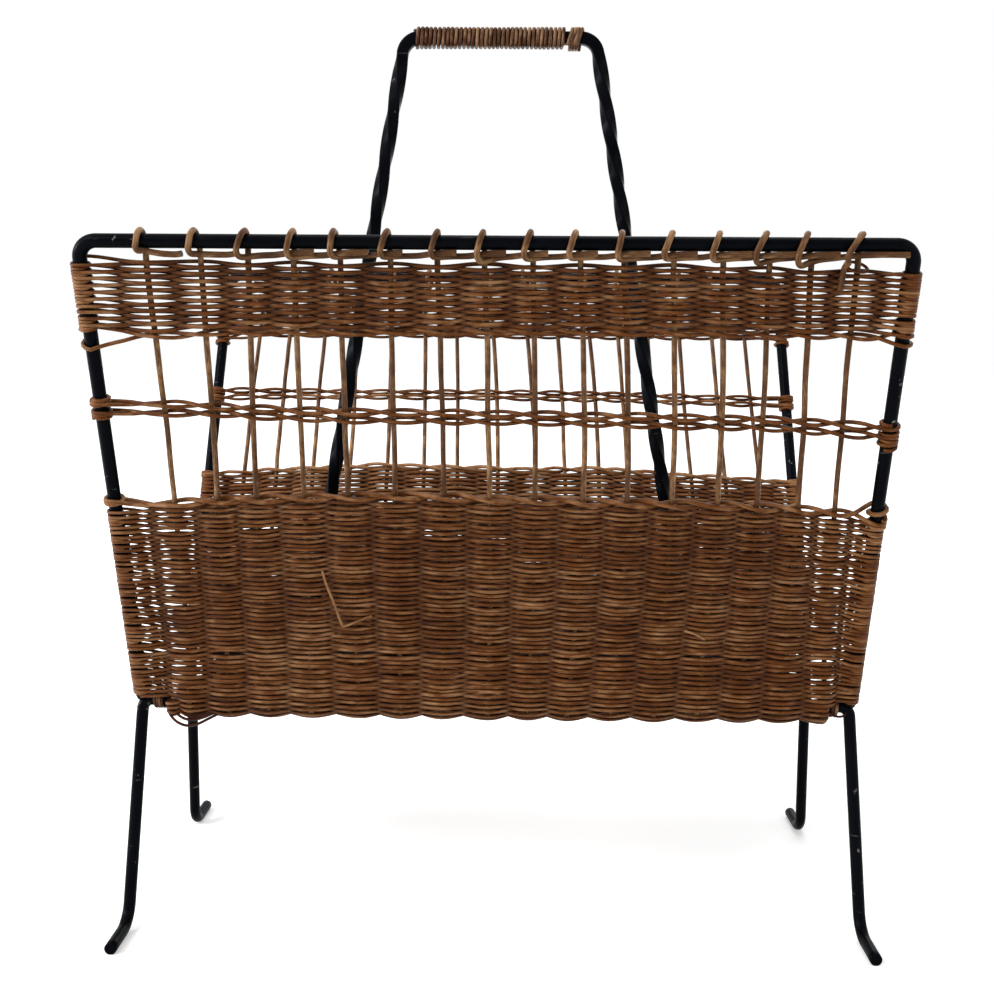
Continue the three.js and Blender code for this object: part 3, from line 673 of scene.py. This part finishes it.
def add_twined_row(strands, panel, name, size, swing, tone):
    """Two strands that cross between one stake and the next, and go round the side rods."""
    posts = STAKES + 2
    u = np.arange((posts - 1) * STEPS + 1) / STEPS
    middle = float(panel.row(name, 0.0))
    edge = float(rod_x(middle))
    x = spread(np.concatenate([[-edge], panel.stakes(middle), [edge]]), STEPS)
    around = ROD + size
    reach = spread(np.array([around] + [STAKE + size] * STAKES + [around]), STEPS)
    swing = swing * np.clip(np.minimum(u, posts - 1 - u) * 2, 0, 1) * np.sin(math.pi * u)
    left_share = np.clip(1 - u, 0, 1) ** 1.5
    right_share = np.clip(u - (posts - 2), 0, 1) ** 1.5
    left_ends, right_ends = ROW_ENDS.get((panel.name, name), (PLAIN_END, PLAIN_END))
    waver = ripple(0.18, x_length=60)
    level = panel.row(name, x) + waver(x, 0)
    for phase in (1, -1):
        out = phase * reach * np.cos(math.pi * u)
        left_drop, left_turns, left_fall = left_ends[0 if out[0] > 0 else 1]
        right_drop, right_turns, right_fall = right_ends[0 if out[-1] > 0 else 1]
        drop = level + phase * swing + left_drop * left_share + right_drop * right_share
        left = round_rod(-1, np.sign(out[0]), left_turns, around, drop[0], drop[0] + left_fall)
        right = round_rod(1, np.sign(out[-1]), right_turns, around, drop[-1], drop[-1] + right_fall)
        line = np.hstack([np.array(left)[:, :0:-1], np.array([x, drop, out]), np.array(right)[:, 1:]])
        path, normals, downs = panel.place(*line)
        radius = size * (1 + 0.06 * np.sin(line[0] / 23 + rng.uniform(0, 6)))
        own_tone = tone + rng.uniform(-0.15, 0.15)
        strands.add(path, radius, own_tone, section=ROW_SIDES, across=downs)


def add_twined_rows():
    for panel in PANELS:
        for name, (size, swing, tone) in TWINED_ROWS.items():
            strands = Strands()
            add_twined_row(strands, panel, name, size, swing, tone)
            strands.build(f"{panel.name}_twined_{name}", "woven_cane", f"{panel.name}_{name}")


def add_loose_corner_strands(strands):
    """Loose strands at the hem's front corners, as x, y and z: four on the left and one on the right."""
    outer_loop = (
        (-221, -61, 154), (-219.4, -66.5, 145.5), (-214.5, -68, 138.8), (-207.5, -68, 135.4),
        (-200, -67.5, 136.2), (-193, -67, 139.5), (-186, -66, 143),
    )
    inner_loop = (
        (-221, -61.5, 155), (-216, -65.5, 152.5), (-211.5, -67, 149.5), (-208.5, -67, 146),
        (-204, -67, 143.5), (-198, -66.5, 143), (-192, -65.5, 145),
    )
    right_loop = (
        (214, -66.5, 152), (221, -68, 149.2), (228, -67.5, 146.6),
        (233.5, -64.8, 146.4), (236.5, -61.5, 149.5),
    )
    for inward in (0, 0.42, 0.7, 1):
        points = np.array(outer_loop) * (1 - inward) + np.array(inner_loop) * inward
        strands.add(curve(points, 1.2), 0.95 * WEAVER, tone=-0.3)
    strands.add(curve(right_loop, 1.2), 0.8 * WEAVER, tone=-0.6)


def add_floor_weave():
    """It goes round below both crossbars."""
    strands = Strands()
    end = ("top_bar", 2 * FLOOR_MIDDLE - HEM_START)
    band = Band(FRONT, ("top_bar", HEM_START), end, False, FLOOR_SHEET)
    add_woven_strand(strands, band)
    add_loose_corner_strands(strands)
    strands.build("woven_floor", "woven_cane", "floor_weave")


def loop_over_bar(top, front, lowest):
    """A stake's end from its lowest place under the bar, up over it and down behind, as x from the stake,
    drop and out."""
    lean = front - top
    return [
        (front + 3.2, lowest, 4.2),
        (front + 0.9, 0.75 * lowest + 0.6, 6.2),
        (front, 0.4 * lowest, 7.3),
        (top + 0.75 * lean, -0.6, 6.7),
        (top + 0.35 * lean, -4.6, 4.0),
        (top, -5.9, -0.2),
        (0.9 * top, -4.2, -4.2),
        (0.6 * top, 0.4, -5.8),
        (0.3 * top, 5.5, -4.4),
        (0, 10.5, -1.4),
        (0, LOOP_END, 0),
    ]


def tail_below_bar(front, lowest, end):
    """The same strand's tail from its cut end back to the loop. It passes inside the next stake's loop."""
    shape = (
        (7.5, 2.8 + 0.6 * lowest, 3.3), (13, 5.4 + 0.2 * lowest, 3), (20, 6.6, 3),
        (25, 5.8, 3.5), (32, 4.8, 4.2), (47, 4, 4.7),
    )
    reach = end - front
    places, drops, outs = zip(*shape)
    tail = [(front + x, drop, out) for x, drop, out in shape if x < reach - 2]
    tail.append((end, np.interp(reach, places, drops), np.interp(reach, places, outs)))
    return tail[::-1]


def tucked_tail(front):
    """The rightmost front loop has no tail below the bar: its end goes down into the weave."""
    shape = ((-0.7, 25, 2.6), (-0.5, 20, 3.4), (-0.4, 14, 3.4), (0, 10.5, 4.6))
    return [(front + x, drop, out) for x, drop, out in shape]


def half_stake(panel, index):
    """A stake's path, thickness and tone from its cut end to the middle of the floor."""
    last = index == STAKES - 1
    spacing = 1.3
    if panel is FRONT:
        top, front, lowest = LOOP_TOPS[index], LOOP_FRONTS[index], LOOP_DROPS[index]
        tail = tucked_tail(front) if last else tail_below_bar(front, lowest, TAIL_ENDS[index])
    else:
        top, front, lowest = rng.normal(-1.6, 1), rng.normal(-4.5, 1), rng.normal(7.6, 0.5)
        tail = tail_below_bar(front, lowest, 22 if last else rng.normal(37, 2))
    loop = loop_over_bar(top, front, lowest)
    if panel is FRONT and last:
        loop = loop[1:]
    end = np.array(tail + loop)
    end[:, 0] += panel.stakes(LOOP_END)[index]
    tail_count = len(curve(end[: len(tail) + 1], spacing))
    end = curve(end, spacing)
    start = LOOP_END + 2
    drop = np.concatenate([np.linspace(start, LEAVE - 4, 40), np.linspace(LEAVE, FLOOR_MIDDLE, 60)])
    sway = ripple(0.22, x_length=120, terms=3)
    fade = np.clip((drop - start) / 30, 0, 1) * np.clip((LEAVE - drop) / 30, 0, 1)
    x = panel.stakes(drop)[:, index] + fade * sway(drop, index)
    line = np.vstack([end, np.column_stack([x, drop, fade * sway(index, drop)])])
    points = panel.place(*line.T)[0]
    step = np.arange(len(line))
    looped = (step < len(end)) & (line[:, 1] < 10)
    radius = np.where(looped, LOOP, STAKE)
    tone = np.where(looped & (step > tail_count), 0.6, np.where(step < tail_count, 0.3, 0.5))
    return points, smoothed(radius), smoothed(tone)


def add_stakes():
    """The stakes, each one strand from its front loop to its rear one."""
    for index in range(STAKES):
        front, front_radius, front_tone = half_stake(FRONT, index)
        rear, rear_radius, rear_tone = half_stake(REAR, STAKES - 1 - index)
        path = np.vstack([front, rear[-2::-1]])
        radius = np.concatenate([front_radius, rear_radius[-2::-1]])
        radius = radius * (1 + 0.04 * np.sin(np.arange(len(radius)) / 9 + rng.uniform(0, 6)))
        tone = np.concatenate([front_tone, rear_tone[-2::-1]]) + rng.uniform(-0.2, 0.2)
        node = f"stake_{index + 1:02d}"
        add_tube("cane_" + node, "stake_cane", node, path, radius, tone, section=STAKE_SIDES)


def add_crossbar_wraps():
    """Cane wound round each crossbar between the floor weave and the leg: many turns of thin strand at one
    end, a few of thick strand at the other."""
    end_reach = 1.2
    few_length = 4  # from the first of the few turns to the last, in strand radii
    for panel in PANELS:
        for side in ("left", "right"):
            node = f"crossbar_wrap_{panel.name}_{side}"
            low, high = corners(node)
            many = (side == "left") == (panel is FRONT)
            strand, turns = (0.95, 4.5) if many else (1.5, 2.2)
            inner, outer = (low[0], high[0]) if high[0] > 0 else (high[0], low[0])
            end = outer + math.copysign(end_reach - strand, outer)
            if many:
                start = inner + math.copysign(strand, outer)
            else:
                start = end - math.copysign(few_length * strand, outer)
            radius = ROD + strand + 0.2
            angle = np.linspace(0, 2 * math.pi * turns, round(turns * 16))
            x = start + (end - start) * angle / angle[-1] + 0.5 * np.sin(angle)
            y = -CROSSBAR_Y * panel.turn + radius * np.sin(angle)
            z = CROSSBAR_Z + radius * np.cos(angle)
            path = np.column_stack([x, y, z])
            name = f"{panel.name}_{side}_crossbar_winding"
            add_tube(name, "winding_cane", node, path, strand, tone=0.45, across=(1, 0, 0))


def bar_radius(angle, stand_off):
    """How far from the square bar's axis a strand lies, on its flats and round its corners."""
    quarter = np.abs(angle) % (math.pi / 2)
    from_flat = np.minimum(quarter, math.pi / 2 - quarter)
    along = BAR * (np.cos(from_flat) + np.sin(from_flat))
    flat = (BAR + stand_off) / np.cos(from_flat)
    corner = along + np.sqrt(np.maximum(along**2 - 2 * BAR**2 + stand_off**2, 0))
    return np.where(np.tan(from_flat) * (BAR + stand_off) <= BAR, flat, corner)


def around_grip(x, angle, stand_off):
    """Points round the bar's grip, and a little way round the bend at its left end."""
    radius = bar_radius(angle, stand_off)
    fall = np.maximum(-x - GRIP_STRAIGHT, 0) ** 2 / (2 * BAR_BEND)
    return np.column_stack([x, radius * np.sin(angle), GRIP_Z - fall + radius * np.cos(angle)])


def add_grip():
    """The grip's winding, with a little difference from turn to turn."""
    start, end = grip_low[0] - GRIP_START, grip_high[0] - GRIP_STRAND
    angle = np.linspace(0, 2 * math.pi * GRIP_TURNS, GRIP_TURNS * 28)
    x = start + (end - start) * angle / angle[-1] + 0.12 * np.sin(angle / 5.3)
    radius = GRIP_STRAND * (1 + 0.05 * np.sin(angle / 7.1))
    tone = 0.55 + 0.15 * np.sin(angle / 11) * np.sin(angle / 3.7)
    path = around_grip(x, angle, GRIP_STRAND + 0.15)
    shape = {"section": round_section(ROW_SIDES) * (1.12, 1.0), "across": (1, 0, 0)}
    add_tube("grip_wound_cane", "winding_cane", "grip_winding", path, radius, tone, **shape)


def add_grip_knot():
    """The winding's end: turns that slant across the bar and hang a little below it."""
    slant = 1.7
    turns = 3.8
    hang = 1.6
    inset = 0.4
    first_angle = -2.4
    start, end = knot_low[0] + GRIP_STRAND + inset, knot_high[0] - GRIP_STRAND - inset
    angle = np.linspace(first_angle, 2 * math.pi * turns + first_angle, 120)
    share = (angle - angle[0]) / (angle[-1] - angle[0])
    below = np.maximum(-np.cos(angle), 0)
    x = start + (end - start) * share + slant * np.cos(angle)
    path = around_grip(x, angle, GRIP_STRAND + 0.2 + hang * below**2)
    radius = GRIP_STRAND * 1.05
    shape = {"section": ROW_SIDES, "across": (1, 0, 0)}
    add_tube("grip_tie", "winding_cane", "grip_knot", path, radius, tone=0.6, **shape)


# Looks. Colours are sRGB, from 0 to 255.
# Painted shade, with some dirt: the colour that the crevices between strands are darkened towards
CREVICE_SHADE = (36, 12, 3)
# The darker strand edges are painted shade, where a strand lies against the next
CANES = {  # dark, middle and pale, and how much darker the strands' edges are
    "stake_cane": ((42, 22, 9), (88, 58, 34), (160, 124, 86), 0.0),
    "woven_cane": ((46, 17, 3), (96, 53, 17), (154, 114, 78), 0.6),
    "winding_cane": ((30, 12, 4), (67, 37, 16), (156, 122, 92), 0.75),
}
WHITE = (1, 1, 1, 1)  # for a shader socket
WORLD_LIGHT = 0.36  # on the rack. The background is seen at 1.
GLOW_START = 0.35  # metres from the rack's middle, along the floor
GLOW_END = 1.3
LAMP_AIM = (0, 0, 0.3)  # metres
PHOTO_SIZE = 995  # the photograph's longer side, in pixels
FOCAL_LENGTH = 1200  # in the same pixels
CAMERA_PLACE = (12.4, -845.3, 391.8)


def srgb(red, green, blue):
    """A colour given as 0 to 255, for a shader socket."""
    values = np.array([red, green, blue]) / 255
    return (*np.where(values <= 0.04045, values / 12.92, ((values + 0.055) / 1.055) ** 2.4), 1.0)


class Nodes:
    """The nodes of a material or world."""

    def __init__(self, owner, shader):
        owner.use_nodes = True
        self.tree = owner.node_tree
        self.shader = self.tree.nodes[shader]

    def add(self, kind, inputs=(), **settings):
        node = self.tree.nodes.new(kind)
        for key, value in settings.items():
            setattr(node, key, value)
        for socket, value in dict(inputs).items():
            if isinstance(value, bpy.types.NodeSocket):
                self.tree.links.new(value, node.inputs[socket])
            else:
                node.inputs[socket].default_value = value
        return node

    def attribute(self, name, output):
        return self.add("ShaderNodeAttribute", attribute_name=name).outputs[output]

    def position(self):
        return self.add("ShaderNodeNewGeometry").outputs["Position"]

    def math(self, operation, first, second=0.0):
        return self.add("ShaderNodeMath", {0: first, 1: second}, operation=operation).outputs[0]

    def noise(self, vector, scale, detail=3.0, roughness=0.6):
        inputs = {"Vector": vector, "Scale": scale, "Detail": detail, "Roughness": roughness}
        return self.add("ShaderNodeTexNoise", inputs).outputs[0]

    def scaled(self, vector, scale):
        return self.add("ShaderNodeVectorMath", {0: vector, 1: scale}, operation="MULTIPLY").outputs[0]

    def ramp(self, value, stops):
        node = self.add("ShaderNodeValToRGB", {"Fac": value})
        elements = node.color_ramp.elements
        while len(elements) < len(stops):
            elements.new(0.5)
        for element, (place, colour) in zip(elements, stops):
            element.position = place
            element.color = colour
        return node.outputs["Color"]

    def remapped(self, value, low, high, new_low, new_high):
        inputs = {"Value": value, "From Min": low, "From Max": high, "To Min": new_low, "To Max": new_high}
        return self.add("ShaderNodeMapRange", inputs).outputs["Result"]

    def mixed(self, share, first, second):
        """Two colours mixed. 0, 6 and 7 are the Mix node's sockets for the share and the two colours."""
        return self.add("ShaderNodeMix", {0: share, 6: first, 7: second}, data_type="RGBA").outputs[2]

    def seen(self):
        """1 for what the camera sees, also in gloss or through glass, and 0 for the light on the rack."""
        path = self.add("ShaderNodeLightPath")
        seen = self.math("MAXIMUM", path.outputs["Is Camera Ray"], path.outputs["Is Glossy Ray"])
        return self.math("MAXIMUM", seen, path.outputs["Is Transmission Ray"])

    def set(self, values):
        for socket, value in values.items():
            self.shader.inputs[socket].default_value = value

    def link(self, output, socket):
        self.tree.links.new(output, self.shader.inputs[socket])


def new_material(name):
    material = bpy.data.materials.new(name)
    return material, Nodes(material, "Principled BSDF")


def cane_material(name, dark, middle, pale, edge_shade):
    """Old varnished cane: brown strands that differ from one another, with fine grain along them. Painted
    shade and some dirt darken the crevices, and painted shade darkens by edge_shade the edges where a strand
    lies against the next."""
    dark, middle, pale, crevice_shade = (srgb(*colour) for colour in (dark, middle, pale, CREVICE_SHADE))
    material, nodes = new_material(name)
    grain = nodes.attribute("grain", "Vector")
    tone = nodes.attribute("tone", "Fac")
    openness = nodes.attribute("open", "Fac")
    fibres = nodes.noise(nodes.scaled(grain, (0.05, 2.6, 2.6)), 1.6, detail=4.0, roughness=0.65)
    mottle = nodes.noise(nodes.scaled(grain, (0.09, 0.35, 0.35)), 1.0)
    stain = nodes.noise(nodes.position(), 14.0)
    shade = 0.5
    for pattern, strength in ((fibres, 0.8), (mottle, 1.15), (stain, 0.6), (tone, 0.55)):
        change = nodes.math("MULTIPLY", nodes.math("SUBTRACT", pattern, 0.5), strength)
        shade = nodes.math("ADD", change, shade)
    colour = nodes.ramp(shade, ((0.1, dark), (0.5, middle), (0.9, pale)))
    across = nodes.add("ShaderNodeSeparateXYZ", {0: grain}).outputs["Y"]
    # Painted shade on a strand's edges, where it lies against the next row or turn
    painted_edge_shade = nodes.remapped(nodes.math("ABSOLUTE", across), 0.7, 1.05, 1.0, 1.0 - edge_shade)
    # Painted shade, with some dirt, in the crevices: the less open a point, the nearer it is to the crevice
    # colour
    unshaded_share = nodes.remapped(openness, 0.0, 0.6, 0.25, 1.0)
    nodes.link(nodes.mixed(nodes.math("MULTIPLY", unshaded_share, painted_edge_shade), crevice_shade, colour), "Base Color")
    nodes.link(nodes.remapped(fibres, 0.3, 0.7, 0.32, 0.5), "Roughness")
    nodes.set({"Specular IOR Level": 0.1})
    bump = nodes.add("ShaderNodeBump", {"Height": fibres, "Strength": 0.4, "Distance": 0.00025})
    nodes.link(bump.outputs["Normal"], "Normal")
    return material


def iron_material():
    """Black paint on iron, brushed on by hand, with a few chips and long rubs that show the metal."""
    material, nodes = new_material("painted_iron")
    position = nodes.position()
    brushing = nodes.noise(position, 90.0, detail=4.0)
    dust = nodes.noise(position, 26.0, detail=4.0, roughness=0.65)
    chips = nodes.noise(position, 230.0, detail=2.0, roughness=0.5)
    rubs = nodes.noise(nodes.scaled(position, (40, 40, 260)), 1.0, detail=2.0, roughness=0.5)
    where = nodes.noise(position, 9.0, detail=2.0, roughness=0.5)
    paint = nodes.ramp(dust, ((0.35, srgb(2, 3, 4)), (0.75, srgb(8, 9, 11))))
    chipped = nodes.remapped(nodes.math("MAXIMUM", chips, rubs), 0.7, 0.73, 0.0, 1.0)
    worn = nodes.math("MULTIPLY", chipped, nodes.remapped(where, 0.5, 0.6, 0.0, 0.8))
    nodes.link(nodes.mixed(worn, paint, srgb(128, 126, 120)), "Base Color")
    nodes.link(nodes.remapped(brushing, 0.3, 0.7, 0.26, 0.44), "Roughness")
    nodes.set({"Specular IOR Level": 0.03, "Specular Tint": srgb(214, 226, 255)})
    bump = nodes.add("ShaderNodeBump", {"Height": brushing, "Strength": 0.2, "Distance": 0.0006})
    nodes.link(bump.outputs["Normal"], "Normal")
    return material


def stage_material():
    """A white floor that keeps the rack's shadow and is seen as brightly as the background. Its glow grows
    away from the rack, where the lamps don't reach."""
    material, nodes = new_material("studio_floor")
    nodes.set({"Base Color": (0.82, 0.82, 0.82, 1), "Emission Color": WHITE})
    nodes.set({"Roughness": 0.9, "Specular IOR Level": 0.1})
    away = nodes.add("ShaderNodeVectorMath", {0: nodes.position()}, operation="LENGTH").outputs["Value"]
    glow = nodes.remapped(away, GLOW_START, GLOW_END, WORLD_LIGHT, 1.0)
    nodes.link(nodes.math("MULTIPLY", nodes.seen(), glow), "Emission Strength")
    return material


def add_stage():
    bpy.ops.mesh.primitive_plane_add(size=30)
    floor = bpy.context.object
    floor.name = "studio_floor"
    floor.data.materials.append(stage_material())


def add_world():
    """A white background for what the camera sees, and a plainer light for the rack."""
    world = bpy.data.worlds.new("studio")
    bpy.context.scene.world = world
    nodes = Nodes(world, "Background")
    nodes.set({"Color": WHITE})
    nodes.link(nodes.remapped(nodes.seen(), 0.0, 1.0, WORLD_LIGHT, 1.0), "Strength")


def add_lamp(name, place, size, watts):
    """A round lamp that faces the rack's middle, in metres."""
    data = bpy.data.lights.new(name, "AREA")
    data.shape = "DISK"
    data.size = size
    data.energy = watts
    lamp = bpy.data.objects.new(name, data)
    bpy.context.scene.collection.objects.link(lamp)
    lamp.location = place
    aim = Vector(LAMP_AIM) - lamp.location
    lamp.rotation_euler = aim.to_track_quat("-Z", "Y").to_euler()


def add_lights():
    add_lamp("key", (-1.5, -1.5, 1.9), 0.9, 38)
    add_lamp("left", (-2.3, -0.4, 0.8), 0.6, 42)
    add_lamp("fill", (1.7, -1.3, 1.1), 1.4, 10)
    add_lamp("overhead", (0.1, 0.2, 2.3), 1.6, 24)
    add_lamp("rear", (0.6, 1.9, 1.3), 1.4, 12)


def add_camera():
    """The photograph's camera, found from the rods' places in it."""
    pitch, yaw, roll = 0.128, -0.015, 0.007
    forward = Vector((math.sin(yaw) * math.cos(pitch), math.cos(yaw) * math.cos(pitch), -math.sin(pitch)))
    level = Vector((math.cos(yaw), -math.sin(yaw), 0))
    upright = level.cross(forward)
    right = math.cos(roll) * level + math.sin(roll) * upright
    up = -math.sin(roll) * level + math.cos(roll) * upright
    data = bpy.data.cameras.new("camera")
    data.sensor_width = 36
    data.lens = data.sensor_width * FOCAL_LENGTH / PHOTO_SIZE
    camera = bpy.data.objects.new("camera", data)
    bpy.context.scene.collection.objects.link(camera)
    turn = Matrix((right, up, -forward)).transposed().to_4x4()
    camera.matrix_world = Matrix.Translation(Vector(CAMERA_PLACE) * MM) @ turn
    bpy.context.scene.camera = camera


bpy.context.scene.view_settings.view_transform = "Standard"
add_camera()
add_world()
add_lights()
add_stage()

materials = {name: cane_material(name, *looks) for name, looks in CANES.items()}
materials["black_iron"] = iron_material()
for panel in PANELS:
    add_panel_rod(panel)
    add_leg_frame(panel)
add_struts()
add_handle()
add_stakes()
add_bands()
add_twined_rows()
add_floor_weave()
add_crossbar_wraps()
add_grip()
add_grip_knot()
